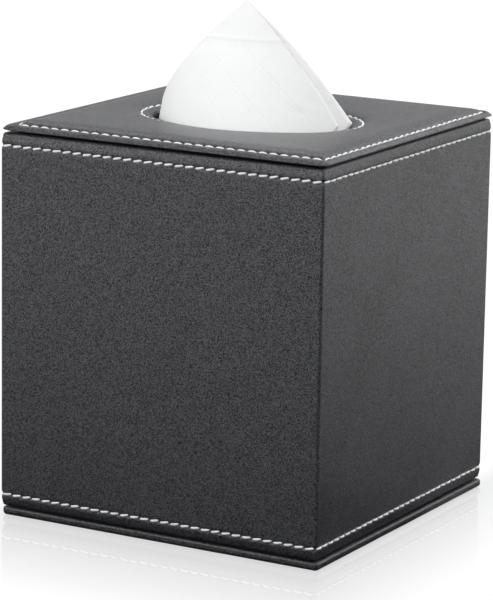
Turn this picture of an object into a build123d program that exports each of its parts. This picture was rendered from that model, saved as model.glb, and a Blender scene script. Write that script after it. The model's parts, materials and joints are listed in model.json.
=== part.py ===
"""Leather tissue box cover: four stitched walls, a padded lid with an oval mouth, and a hinged base flap.

The origin is on the floor under the middle of the cover. +X runs along the front wall, +Y from front to back
and +Z up. The front wall faces -Y. The cover stands on its closed base flap.
"""
import os
from math import atan2, cos, degrees, radians, sin, sqrt

from build123d import *

# Cover
cover_width = 125.0
cover_depth = 125.0
wall_height = 131.8
corner_round = 1.6
wall_edge_round = 1.5

# Layers
leather = 0.6
lining = 0.6
wall_board = 3.0
lid_board = 1.5
flap_board = 1.8
turn_in = 12.0

# Lid
lid_inset = 0.5
lid_corner_round = 3.0
lid_edge_round = 1.4
lid_under_round = 1.5
crown_height = 1.0
crown_slope = 6.0

# Mouth
mouth_length_share = 0.589
mouth_width = 52.0
mouth_end_radius = 20.5
mouth_lip_round = 2.0
mouth_lip_flats = 2
mouth_board_margin = 1.5
mouth_margin = 8.0

# Base flap
flap_inset = 0.4
flap_corner_round = 2.0
flap_edge_round = 1.4
flap_top_round = 0.5
flap_gap = 0.2

# Hinge at the back
hinge_length = 108.0
hinge_overlap = 2.4

# Magnets
magnet_length = 14.0
magnet_width = 2.0
magnet_height = 3.0
flap_magnet_height = 1.0
magnet_cover = 0.8
magnet_spread = 80.0

# Stitching
stitch_length = 3.0
stitch_ridge_length = 2.0
stitch_width = 0.8
stitch_height = 0.5
stitch_pitch = 4.0
groove_width = 1.6
wall_groove = 0.2
lid_groove = 0.4
upper_row_drop = 4.4
lower_row_rise = 4.5
lid_row_inset = 3.5
mouth_row_offset = 4.0
row_end_gap = 0.6

# Tissues
card = 0.5
carton_gap = 0.2
carton_side_gap = 2.3
carton_top_gap = 5.8
carton_mouth_margin = 4.0
stack_side_gap = 0.5
stack_top_gap = 1.0
tissue_thickness = 0.4
tissue_height = 41.5
tissue_end_y = 3.5
tissue_lean = 25.0
tissue_edge_sagitta = 1.7
tissue_front_gap = 1.5
tissue_side_gap = 1.0

# Heights worked out from the sizes above
flap_top = leather + flap_board + leather
wall_low = flap_top + flap_gap
wall_top = wall_low + wall_height
lid_board_low = wall_top + leather
lid_board_top = lid_board_low + lid_board
bead_top = lid_board_top + leather
valley = bead_top - lid_groove
crown_top = bead_top + crown_height
carton_low = leather + flap_board + max(leather, lining) + carton_gap
carton_high = wall_top - carton_top_gap
stack_top = carton_high - card - stack_top_gap

# Plan sizes worked out from the sizes above
lid_width = cover_width - 2 * lid_inset
lid_depth = cover_depth - 2 * lid_inset
flap_width = cover_width - 2 * flap_inset
flap_depth = cover_depth - 2 * flap_inset
board_width = cover_width - 2 * leather
board_depth = cover_depth - 2 * leather
room_width = board_width - 2 * wall_board
room_depth = board_depth - 2 * wall_board
carton_width = room_width - 2 * (max(leather, lining) + carton_side_gap)
carton_depth = room_depth - 2 * (max(leather, lining) + carton_side_gap)
mouth_length = mouth_length_share * lid_width
half_groove = groove_width / 2
magnet_y = -(board_depth / 2 - magnet_cover - magnet_width / 2)

# The mouth is an oval of four arcs: these are the middles of its end arcs and side arcs
mouth_end_x = mouth_length / 2 - mouth_end_radius
mouth_side_radius = (mouth_end_x ** 2 + (mouth_width / 2) ** 2 - mouth_end_radius ** 2) / (
    mouth_width - 2 * mouth_end_radius)
mouth_side_y = mouth_side_radius - mouth_width / 2

# Cutters reach this far past what they cut
past = 2.0

# A flat that touches a round of radius 1 at its middle cuts this much off the corner
flat_for_round = 2 - sqrt(2)


def slab(width, depth, corner, low, high):
    """Upright block with rounded corners, centred on the origin."""
    return Pos(0, 0, low) * extrude(RectangleRounded(width, depth, corner), high - low)


def block(width, depth, low, high, y=0.0, x=0.0):
    """Upright block with sharp corners."""
    return Pos(x, y, (low + high) / 2) * Box(width, depth, high - low)


def oval_arcs(off):
    """The mouth's four arcs, moved outwards by off, in order round the oval from its right end."""
    join = atan2(mouth_side_y, mouth_end_x)
    join_x = mouth_end_x + (mouth_end_radius + off) * cos(join)
    join_y = (mouth_end_radius + off) * sin(join)
    half_length = mouth_length / 2 + off
    half_width = mouth_width / 2 + off
    return [
        ThreePointArc((join_x, -join_y), (half_length, 0), (join_x, join_y)),
        ThreePointArc((join_x, join_y), (0, half_width), (-join_x, join_y)),
        ThreePointArc((-join_x, join_y), (-half_length, 0), (-join_x, -join_y)),
        ThreePointArc((-join_x, -join_y), (0, -half_width), (join_x, -join_y)),
    ]


def oval(off, low, high, taper=0.0):
    """Upright block with the mouth's outline, moved outwards by off. taper is degrees, positive inwards."""
    return Pos(0, 0, low) * extrude(make_face(oval_arcs(off)), high - low, taper=taper)


def ease_ends(body, top, bottom):
    """Ease the outer edges of a block's top and bottom faces with flats that touch these rounds."""
    rims = body.edges().group_by(Axis.Z)
    body = chamfer(rims[-1], top * flat_for_round)
    rims = body.edges().group_by(Axis.Z)
    return chamfer(rims[0], bottom * flat_for_round)


def board_block(width, depth, corner, low, high):
    """Upright board whose corners are eased with flats that touch the round of the leather's inside."""
    board = block(width, depth, low, high)
    return chamfer(board.edges().filter_by(Axis.Z), corner * flat_for_round)


def mouth_cutter(low, top):
    """Cutter for the leather's mouth, flared at the top by flats that follow the lip's round."""
    cutter = oval(0, low, top - mouth_lip_round)
    for flat in range(mouth_lip_flats):
        first = radians(90 * flat / mouth_lip_flats)
        last = radians(90 * (flat + 1) / mouth_lip_flats)
        rise = mouth_lip_round * (sin(last) - sin(first))
        run = mouth_lip_round * (cos(first) - cos(last))
        start = top - mouth_lip_round * (1 - sin(first))
        flare = -degrees(atan2(run, rise))
        cutter += oval(mouth_lip_round * (1 - cos(first)), start, start + rise, taper=flare)
    return cutter


def crown(foot, low, high):
    """Raised ring between the edge row and the mouth row, sloped at both sides.

    foot is how far the ring's lower outline stands off the two rows.
    """
    inset = lid_row_inset + foot
    slope = degrees(atan2(crown_slope, lid_groove + crown_height))
    outline = Rectangle(lid_width - 2 * inset, lid_depth - 2 * inset)
    ring = Pos(0, 0, low) * extrude(outline, high - low, taper=slope)
    return ring - oval(mouth_row_offset + foot, low, high, taper=-slope)


def make_walls():
    """Four boards butted at the corners, the leather turned over their edges, and the cloth inside."""
    ring = board_block(board_width, board_depth, corner_round - leather, wall_low + leather, wall_top - leather)
    ring = ease_ends(ring, wall_edge_round - leather, wall_edge_round - leather)
    ring -= block(room_width, room_depth, wall_low, wall_top)
    end_y = (board_depth - wall_board) / 2
    side_x = (board_width - wall_board) / 2
    end = block(board_width + past, wall_board, wall_low, wall_top)
    side = block(wall_board, room_depth, wall_low, wall_top)
    boards = {
        "front_board": ring & Pos(0, -end_y, 0) * end,
        "back_board": ring & Pos(0, end_y, 0) * end,
        "left_board": ring & Pos(-side_x, 0, 0) * side,
        "right_board": ring & Pos(side_x, 0, 0) * side,
    }

    lining_low = wall_low + turn_in
    lining_high = wall_top - turn_in
    cloth = block(room_width, room_depth, lining_low, lining_high)
    cloth -= block(room_width - 2 * lining, room_depth - 2 * lining, wall_low, wall_top)

    skin = slab(cover_width, cover_depth, corner_round, wall_low, wall_top)
    skin = ease_ends(skin, wall_edge_round, wall_edge_round)
    for row in (wall_low + lower_row_rise, wall_top - upper_row_drop):
        around = slab(cover_width + past, cover_depth + past, corner_round, row - half_groove, row + half_groove)
        skin -= around - slab(cover_width - 2 * wall_groove, cover_depth - 2 * wall_groove,
                              corner_round - wall_groove, row - half_groove, row + half_groove)
    skin -= block(room_width - 2 * leather, room_depth - 2 * leather, wall_low - past, wall_top + past)
    skin -= block(room_width, room_depth, lining_low, lining_high)
    skin -= ring
    skin -= hinge_bed()

    magnets = magnet_pair(wall_low + leather, magnet_height)
    boards["front_board"] -= magnets
    return boards | {"wall_leather": skin, "wall_lining": cloth, "wall_magnets": magnets}


def magnet_pair(low, height):
    """Two bar magnets under the front wall's board."""
    bars = [block(magnet_length, magnet_width, low, low + height, magnet_y, side * magnet_spread / 2)
            for side in (-1, 1)]
    return bars[0] + bars[1]


def hinge_bed():
    """Space of the hinge strip, flush with the back wall's leather and down the flap's back edge."""
    return block(hinge_length, leather, flap_edge_round, wall_low + hinge_overlap, (cover_depth - leather) / 2)


def make_lid():
    """Lid board, the foam crown on it, the leather round both, and the cloth below."""
    board = board_block(lid_width - 2 * leather, lid_depth - 2 * leather, lid_corner_round - leather,
                        lid_board_low, lid_board_top)
    board = ease_ends(board, lid_edge_round - leather, lid_under_round - leather)
    board -= oval(mouth_board_margin, wall_top, crown_top)

    foam_foot = half_groove + crown_slope * lid_groove / (lid_groove + crown_height)
    foam = crown(foam_foot, lid_board_top, lid_board_top + crown_height)

    cloth = block(lid_width - 2 * turn_in, lid_depth - 2 * turn_in, lid_board_low - lining, lid_board_low)
    cloth -= oval(mouth_margin, wall_top - past, crown_top)

    skin = slab(lid_width, lid_depth, lid_corner_round, wall_top, bead_top)
    skin = ease_ends(skin, lid_edge_round, lid_under_round)
    row_outer = lid_row_inset - half_groove
    skin -= block(lid_width - 2 * row_outer, lid_depth - 2 * row_outer, valley, bead_top + past)
    skin += crown(half_groove, valley, crown_top)
    lip_width = mouth_row_offset - half_groove
    skin -= oval(lip_width, wall_top - past, crown_top)
    skin += oval(lip_width, wall_top, bead_top) - mouth_cutter(wall_top - past, bead_top)
    skin -= board
    skin -= foam
    skin -= cloth
    return {"lid_board": board, "lid_padding": foam, "lid_leather": skin, "lid_lining": cloth}


def make_flap():
    """Base flap: board, leather turned over its edges, cloth on top, and magnets at the front."""
    magnets = magnet_pair(leather + flap_board - flap_magnet_height, flap_magnet_height)
    board = board_block(flap_width - 2 * leather, flap_depth - 2 * leather, flap_corner_round - leather,
                        leather, leather + flap_board)
    board = chamfer(board.edges().group_by(Axis.Z)[0], (flap_edge_round - leather) * flat_for_round)
    cloth = block(flap_width - 2 * turn_in, flap_depth - 2 * turn_in,
                  leather + flap_board, leather + flap_board + lining)
    skin = slab(flap_width, flap_depth, flap_corner_round, 0, flap_top)
    skin = ease_ends(skin, flap_top_round, flap_edge_round)
    skin -= board
    skin -= cloth
    skin -= hinge_bed()
    return {"base_board": board - magnets, "base_leather": skin, "base_lining": cloth, "flap_magnets": magnets}


def make_stitch():
    """One stitch, lying along X on the groove's floor, with a ridge and ends that slope into the leather."""
    half = stitch_length / 2
    ridge = stitch_ridge_length / 2
    half_width = stitch_width / 2
    side = Polyline((-half, 0), (half, 0), (ridge, stitch_height), (-ridge, stitch_height), close=True)
    section = Polyline((-half_width, 0), (half_width, 0), (0, stitch_height), close=True)
    along = extrude(Plane.XZ * make_face(side), stitch_width, both=True)
    across = extrude(Plane.YZ * make_face(section), stitch_length, both=True)
    return along & across


def sides(inset):
    """Length of each of the four sides of a row, and how far that side is from the middle."""
    lengths = (cover_width, cover_depth, cover_width, cover_depth)
    reaches = (cover_depth, cover_width, cover_depth, cover_width)
    return [(length - 2 * inset, reach / 2 - inset) for length, reach in zip(lengths, reaches)]


def along_side(length):
    """Middles of the stitches on one straight side, evenly spaced."""
    run = length - 2 * row_end_gap
    count = max(1, round(run / stitch_pitch))
    step = run / count
    return [(index - (count - 1) / 2) * step for index in range(count)]


def square_row(inset, height, lie):
    """Row of stitches round four sides. lie turns each one from lying on a flat top to its own face."""
    stitch = make_stitch()
    row = []
    for number, (length, reach) in enumerate(sides(inset)):
        for middle in along_side(length):
            row.append(Rot(0, 0, 90 * number) * Pos(middle, -reach, height) * lie * stitch)
    return Compound(children=row)


def mouth_row():
    """Ring of stitches round the mouth, evenly spaced along the oval."""
    path = Wire(oval_arcs(mouth_row_offset))
    stitch = make_stitch()
    count = round(path.length / stitch_pitch)
    ring = []
    for index in range(count):
        place = path @ (index / count)
        heading = path % (index / count)
        ring.append(Pos(place.X, place.Y, valley) * Rot(0, 0, degrees(atan2(heading.Y, heading.X))) * stitch)
    return Compound(children=ring)


def make_stitching():
    """The four groups of white thread."""
    on_wall = Rot(90, 0, 0)
    flat = Rot(0, 0, 0)
    return {
        "upper_wall_stitching": square_row(wall_groove, wall_top - upper_row_drop, on_wall),
        "lower_wall_stitching": square_row(wall_groove, wall_low + lower_row_rise, on_wall),
        "lid_edge_stitching": square_row(lid_inset + lid_row_inset, valley, flat),
        "mouth_stitching": mouth_row(),
    }


def make_sheet():
    """Corner of a tissue, bowed round the front of the mouth and leaning back, from the stack to its tip."""
    front_y = tissue_front_gap - mouth_width / 2
    lean = radians(tissue_lean)
    half = mouth_length / 2 - tissue_side_gap
    sagitta = (tissue_end_y - front_y) * cos(lean)
    radius = (half ** 2 + sagitta ** 2) / (2 * sagitta)
    length = 4 * (tissue_height + radius)
    bow = Cylinder(radius, length) - Cylinder(radius - tissue_thickness, length)
    bow &= Pos(0, -radius, 0) * Box(4 * radius, 2 * radius, length)
    bow = Pos(0, front_y + radius * cos(lean), bead_top - radius * sin(lean)) * Rot(-tissue_lean, 0, 0) * bow

    tip = (0, bead_top + tissue_height)
    edges = [
        SagittaArc((half, bead_top), tip, tissue_edge_sagitta),
        SagittaArc(tip, (-half, bead_top), tissue_edge_sagitta),
        Polyline((-half, bead_top), (-half, stack_top), (half, stack_top), (half, bead_top)),
    ]
    return bow & extrude(Plane.XZ * make_face(edges), length, both=True)


def make_tissues():
    """Plain carton with an oval opening, the folded tissues in it, and the tissue pulled out of the mouth."""
    carton = block(carton_width, carton_depth, carton_low, carton_high)
    carton -= block(carton_width - 2 * card, carton_depth - 2 * card, carton_low + card, carton_high - card)
    carton -= oval(carton_mouth_margin, stack_top, carton_high + past)
    stack_inset = card + stack_side_gap
    stack = block(carton_width - 2 * stack_inset, carton_depth - 2 * stack_inset, carton_low + card, stack_top)
    return {"tissue_carton": carton, "tissue_stack": stack, "tissue_sheet": make_sheet()}


def main():
    pieces = {}
    pieces |= make_walls()
    pieces |= make_lid()
    pieces |= make_flap()
    pieces |= make_stitching()
    pieces |= make_tissues()
    pieces["hinge_strip"] = hinge_bed()
    os.makedirs("parts", exist_ok=True)
    for node, shape in pieces.items():
        export_step(shape, f"parts/{node}.step")


main()
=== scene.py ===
"""Leather tissue box cover: leather skins, thread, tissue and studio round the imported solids.

Lengths are in metres, in the frame of the solids: +X along the front wall, +Y to the hinged back and +Z up.
"""
import json
import math
import random

import bpy
import numpy as np
from mathutils import Matrix, Vector


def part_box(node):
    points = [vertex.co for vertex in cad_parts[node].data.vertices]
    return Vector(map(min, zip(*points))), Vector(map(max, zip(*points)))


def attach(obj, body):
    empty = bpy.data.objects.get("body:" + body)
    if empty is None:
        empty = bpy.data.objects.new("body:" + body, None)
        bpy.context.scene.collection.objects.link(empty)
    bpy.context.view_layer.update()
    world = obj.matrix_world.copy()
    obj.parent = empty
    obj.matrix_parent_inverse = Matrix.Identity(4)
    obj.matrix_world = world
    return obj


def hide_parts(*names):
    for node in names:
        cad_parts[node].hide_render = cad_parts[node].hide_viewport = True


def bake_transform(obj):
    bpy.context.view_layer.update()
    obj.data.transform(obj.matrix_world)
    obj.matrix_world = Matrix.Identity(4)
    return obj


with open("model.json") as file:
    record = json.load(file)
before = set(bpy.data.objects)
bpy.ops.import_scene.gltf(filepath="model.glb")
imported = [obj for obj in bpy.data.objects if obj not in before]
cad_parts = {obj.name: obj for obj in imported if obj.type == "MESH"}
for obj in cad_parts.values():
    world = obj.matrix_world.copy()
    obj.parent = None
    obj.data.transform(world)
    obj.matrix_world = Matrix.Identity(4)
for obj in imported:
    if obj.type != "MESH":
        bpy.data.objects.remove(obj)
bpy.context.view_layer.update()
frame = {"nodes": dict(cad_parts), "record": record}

bl_info = {
    "name": "Leather tissue box cover",
    "version": (1, 0, 0),
    "blender": (4, 5, 0),
    "location": "3D View > Sidebar > Cover",
    "description": "Leather skins, thread, tissue and studio for a tissue box cover",
    "category": "Object",
}

mm = 0.001
wall_low, wall_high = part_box("wall_leather")
lid_low, lid_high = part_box("lid_leather")
flap_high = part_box("base_leather")[1]
hinge_low, hinge_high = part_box("hinge_strip")
foam_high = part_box("lid_padding")[1]
board_low, board_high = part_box("lid_board")
lining_low, lining_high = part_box("base_lining")
pile_low, pile_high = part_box("tissue_stack")
tissue_low, tissue_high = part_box("tissue_sheet")
upper_row_height = sum(corner.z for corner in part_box("upper_wall_stitching")) / 2
lower_row_height = sum(corner.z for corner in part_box("lower_wall_stitching")) / 2

leather_thickness = board_low.z - lid_low.z
bead_top = board_high.z + leather_thickness
crown_height = lid_high.z - bead_top
lid_bulge = 0.85 * mm
lid_shift = 0.25 * mm
lid_row_shift = 1.5 * mm
flap_overhang = 0.9 * mm
corner_columns = 8
wave_step = 31 * mm
lid_half = lid_high.x + lid_bulge
wall_half = wall_high.x


def size_setting(name, description, size):
    """A length, given in millimetres."""
    return bpy.props.FloatProperty(name=name, description=description, default=size * mm, unit="LENGTH")


def angle_setting(name, description, degrees):
    """An angle, given in degrees."""
    return bpy.props.FloatProperty(
        name=name, description=description, default=math.radians(degrees), subtype="ANGLE")


def level_setting(name, description, level, highest=1.0):
    """A share or a strength."""
    return bpy.props.FloatProperty(name=name, description=description, default=level, min=0, max=highest)


def colour_setting(name, description, *channels):
    """A colour without transparency."""
    return bpy.props.FloatVectorProperty(
        name=name, description=description, subtype="COLOR", size=4, min=0, max=1,
        default=channels + (1.0,))


class LeatherSettings(bpy.types.PropertyGroup):
    colour: colour_setting("Leather", "Colour of the leather", 0.021, 0.0214, 0.0258)
    roughness: level_setting("Roughness", "Roughness of the leather's finish", 0.34)
    grain_size: size_setting("Grain size", "Width of one pebble of the grain", 0.2)
    grain_depth: size_setting("Grain depth", "Height of the pebbles", 0.06)
    wall_corner: size_setting("Wall corner", "Round of the walls' upright corners", 1.1)
    wall_board: size_setting("Wall board", "Thickness of the boards in the walls", 3.0)
    turn_in: size_setting("Turn-in", "Width of the leather turned over an edge", 12.0)
    lid_corner: size_setting("Lid corner", "Round of the lid's corners", 2.6)
    flap_corner: size_setting("Flap corner", "Round of the base flap's corners", 1.2)
    waviness: size_setting("Waviness", "Unevenness of the glued leather", 0.035)


class MouthSettings(bpy.types.PropertyGroup):
    length: size_setting("Length", "Length of the mouth", 73.04)
    width: size_setting("Width", "Width of the mouth", 52.0)
    end_radius: size_setting("End radius", "Radius of the oval's ends", 20.5)
    lip_width: size_setting("Lip width", "How far out the lip starts to roll in", 3.4)
    lip_drop: size_setting("Lip drop", "Height of the lip's roll", 2.1)
    board_margin: size_setting("Board margin", "From the mouth to the board's hole", 1.5)
    turn_in: size_setting("Turn-in", "Leather turned under round the mouth", 8.0)


class StitchSettings(bpy.types.PropertyGroup):
    colour: colour_setting("Thread", "Colour of the thread", 0.95, 0.95, 0.94)
    pitch: size_setting("Pitch", "Length of one stitch and its hole", 4.0)
    thickness: size_setting("Thickness", "Thickness of the thread", 0.78)
    arch: size_setting("Arch", "How far a stitch rises between its holes", 0.36)
    end_gap: size_setting("End gap", "From a side's end to its first hole", 0.6)
    lid_inset: size_setting("Lid row", "From the lid's edge to its row", 3.8)
    mouth_offset: size_setting("Mouth row", "From the mouth to its row", 4.0)
    wall_valley: size_setting("Wall valley", "Depth of the valley along a wall's row", 0.2)
    lid_valley: size_setting("Lid valley", "Depth of the valley along a lid's row", 0.5)
    valley_width: size_setting("Valley width", "Half the width of the valley", 0.8)
    hole_depth: size_setting("Hole", "How far a needle hole pulls the leather in", 0.42)
    hole_radius: size_setting("Hole radius", "Radius of the pulled leather", 0.55)


class TissueSettings(bpy.types.PropertyGroup):
    colour: colour_setting("Tissue", "Colour of the tissue", 0.9, 0.9, 0.893)
    thickness: size_setting("Thickness", "Thickness of the soft two-ply sheet", 0.16)
    lean: angle_setting("Lean", "How far the sheet leans back", 25)
    turn: angle_setting("Turn", "How far the sheet is turned in the mouth", 8)
    bow_radius: size_setting("Bow", "Radius of the sheet's bow", 37.5)
    front_gap: size_setting("Front gap", "From the mouth's front to the sheet", 1.5)
    crease_drop: size_setting("Crease", "From the tip down to the old fold", 12.6)
    layer_gap: size_setting("Layer gap", "From the front layer to the back one", 1.6)
    back_reach: size_setting("Back reach", "How far the back layer shows past the front one", 2.4)


class StudioSettings(bpy.types.PropertyGroup):
    azimuth: angle_setting("Azimuth", "Camera's turn round the cover", 29.561)
    elevation: angle_setting("Elevation", "Camera's height over the horizon", 12.535)
    roll: angle_setting("Roll", "Camera's roll", 0.976)
    distance: size_setting("Distance", "From the camera to the point that it looks at", 1143.6)
    lens: bpy.props.FloatProperty(
        name="Lens", description="Focal length of the camera", default=195.6, unit="CAMERA")
    aim_side: size_setting("Aim side", "How far right of the axis the camera looks", -0.714)
    aim_height: size_setting("Aim height", "Height that the camera looks at", 72.8)
    room_light: level_setting("Room light", "Strength of the light from all round", 0.56, 10.0)
    box_light: level_setting("Box light", "Strength that the side soft boxes add", 2.36, 10.0)
    back_light: level_setting("Back light", "Strength of the light over the back", 2.3, 10.0)
    fill_light: level_setting("Fill light", "Strength of the light over the camera", 2.2, 10.0)
    floor_colour: colour_setting("Floor", "Colour of the floor", 0.72, 0.72, 0.72)
    floor_gloss: level_setting("Floor gloss", "Share of the floor's mirror image", 0.3)


def gauss(distance, width):
    """Soft bump of height 1 round zero."""
    return np.exp(-(distance / width) ** 2)


def ease(share):
    """Smooth step from 0 to 1."""
    share = np.clip(share, 0.0, 1.0)
    return share * share * (3 - 2 * share)


def swell(share, power=2.2):
    """Rises steeply from 0 and lies flat at 1, as leather does over padding."""
    return 1 - (1 - np.clip(share, 0.0, 1.0)) ** power


def wavy(across, up, size):
    """Slow unevenness, up to about size either way."""
    return (np.sin(across / (11 * mm) + 1.3) * np.sin(up / (17 * mm) + 0.4)
            + np.sin(across / (7.3 * mm) - up / (9.1 * mm)) * 0.6
            + np.sin(across / (4.1 * mm) + up / (5.3 * mm) + 2.0) * 0.3) / 1.9 * size


def select_only(piece):
    """Deselect all and select one piece."""
    bpy.ops.object.select_all(action="DESELECT")
    piece.select_set(True)
    bpy.context.view_layer.objects.active = piece


def close_mesh(piece, gap=0.001 * mm):
    """Join the vertices that meet, point the faces outwards and shade them smooth."""
    select_only(piece)
    bpy.ops.object.mode_set(mode="EDIT")
    bpy.ops.mesh.select_all(action="SELECT")
    bpy.ops.mesh.remove_doubles(threshold=gap)
    bpy.ops.mesh.normals_make_consistent(inside=False)
    bpy.ops.object.mode_set(mode="OBJECT")
    bpy.ops.object.shade_smooth()


def grid_of_points(name, points):
    """A grid primitive with its vertices moved to points, which are rows of columns."""
    rows, columns = points.shape[:2]
    bpy.ops.object.select_all(action="DESELECT")
    bpy.ops.mesh.primitive_grid_add(x_subdivisions=columns - 1, y_subdivisions=rows - 1, size=1.0)
    piece = bpy.context.object
    piece.name = name
    flat = np.empty(len(piece.data.vertices) * 3)
    piece.data.vertices.foreach_get("co", flat)
    flat = flat.reshape(-1, 3)
    column = np.rint((flat[:, 0] + 0.5) * (columns - 1)).astype(int)
    row = np.rint((flat[:, 1] + 0.5) * (rows - 1)).astype(int)
    piece.data.vertices.foreach_set("co", points[row, column].ravel())
    piece.data.update()
    return piece


def thicken(piece, thickness):
    """Give a sheet its thickness, half of it to each side."""
    select_only(piece)
    solid = piece.modifiers.new("ply", "SOLIDIFY")
    solid.thickness = thickness
    solid.offset = 0
    bpy.ops.object.modifier_apply(modifier=solid.name)


def join_parts(parts):
    """Join parts into the first of them."""
    bpy.ops.object.select_all(action="DESELECT")
    for part in parts:
        part.select_set(True)
    bpy.context.view_layer.objects.active = parts[0]
    bpy.ops.object.join()
    return parts[0]


def headings(angle):
    """Level directions at these angles."""
    return np.stack([np.cos(angle), np.sin(angle)], axis=1)


def level_ring(points, height):
    """Points of a plan, all at one height."""
    return np.column_stack([points, np.full(len(points), height)])


def dress(piece, body, slot, material, *nodes):
    """Give a piece its finish, the body that it rides on and the solids that it stands for."""
    piece.data.materials.clear()
    piece.data.materials.append(material)
    if nodes:
        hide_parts(*nodes)
    if body:
        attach(piece, body)


class SquareOutline:
    """Columns round a square: four sides from the front one on, each followed by its corner."""

    def __init__(self, side_columns):
        along = np.linspace(-1, 1, side_columns + 1)
        turn = np.arange(1, corner_columns) / corner_columns
        one_along = np.concatenate([along, np.ones(corner_columns - 1)])
        one_turn = np.concatenate([np.zeros(side_columns + 1), turn])
        side = np.repeat(np.arange(4), len(one_along))
        self.along = np.append(np.tile(one_along, 4), one_along[0])
        self.turn = np.append(np.tile(one_turn, 4), one_turn[0])
        self.side = np.append(side, 4)
        facing = (self.side - 1) * math.pi / 2
        self.out = headings(facing)
        self.way = np.stack([-np.sin(facing), np.cos(facing)], axis=1)
        self.normal = headings(facing + self.turn * math.pi / 2)

    def ring(self, half, corner):
        """Points of the square of this half width, with corners of this round."""
        straight = half - corner
        return straight * (self.out + self.along[:, None] * self.way) + corner * self.normal

    def places(self, half, corner):
        """How far each column is from the middle of its side."""
        return self.along * (half - corner) + self.turn * corner

    def off_corner(self):
        """1 along the sides, fading to 0 close to the corners."""
        return gauss(np.maximum(np.abs(self.along) - 0.97, 0), 0.02) * (self.turn == 0)


class MouthOutline:
    """Columns round the mouth's oval of four arcs, set against the columns of a square outline."""

    def __init__(self, mouth, square, half, corner, offset):
        self.end_x = mouth.length / 2 - mouth.end_radius
        half_width = mouth.width / 2
        self.end_radius = mouth.end_radius
        self.side_radius = (self.end_x ** 2 + half_width ** 2 - mouth.end_radius ** 2) / (
            mouth.width - 2 * mouth.end_radius)
        self.side_y = self.side_radius - half_width
        self.join = math.atan2(self.side_y, self.end_x)
        side_run = (self.side_radius + offset) * (math.pi / 2 - self.join)
        end_run = (self.end_radius + offset) * self.join
        quarter = side_run + end_run
        self.length = 4 * quarter

        edge = square.ring(half, corner)
        steps = np.linalg.norm(np.diff(edge, axis=0), axis=1)
        travelled = np.concatenate([[0], np.cumsum(steps)])
        off_middle = np.where(square.side == 0, np.abs(square.along) + square.turn, np.inf)
        front_middle = travelled[np.argmin(off_middle)]
        share = ((travelled - front_middle) / travelled[-1]) % 1.0
        number = np.floor(share * 4).astype(int) % 4
        run = (share * 4 - np.floor(share * 4)) * quarter
        from_side = np.where(run < side_run, run / (self.side_radius + offset),
                             math.pi / 2 - self.join + (run - side_run) / (self.end_radius + offset))
        from_end = np.where(run < end_run, run / (self.end_radius + offset),
                            self.join + (run - end_run) / (self.side_radius + offset))
        angle = np.where(number % 2 == 0, from_side, from_end) + (number - 1) * math.pi / 2
        self.normal = headings(angle)
        self.places = number * quarter + run
        self.base = self.on_oval(self.normal)

    def on_oval(self, normal):
        """Points of the mouth's outline that face along normal."""
        at_end = np.abs(normal[:, 1]) <= math.sin(self.join) + 1e-9
        end = np.stack([np.sign(normal[:, 0]) * self.end_x, np.zeros(len(normal))], axis=1)
        side = np.stack([np.zeros(len(normal)), -np.sign(normal[:, 1]) * self.side_y], axis=1)
        return np.where(at_end[:, None], end + self.end_radius * normal, side + self.side_radius * normal)

    def ring(self, offset):
        """Points of the oval moved outwards by offset."""
        return self.base + offset * self.normal

    def distance(self, points):
        """How far points are outside the mouth's outline."""
        x, y = np.abs(points[:, 0]), np.abs(points[:, 1])
        at_end = np.arctan2(y, x - self.end_x) <= self.join
        return np.where(at_end, np.hypot(x - self.end_x, y) - self.end_radius,
                        np.hypot(x, y + self.side_y) - self.side_radius)


def side_stitches(length, stitch):
    """Number of stitches on a straight side and the step between them."""
    run = length - 2 * stitch.end_gap
    count = max(1, round(run / stitch.pitch))
    return count, run / count


def pulled(distance, place, step, shift, depth, stitch):
    """How far a row pulls the leather in: its valley, and its needle holes a step apart."""
    phase = place / step + shift
    along = (phase - np.rint(phase)) * step
    valley = depth * gauss(distance, stitch.valley_width)
    hole = stitch.hole_depth * gauss(distance, stitch.hole_radius) * gauss(along, stitch.hole_radius)
    return valley + hole


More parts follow.
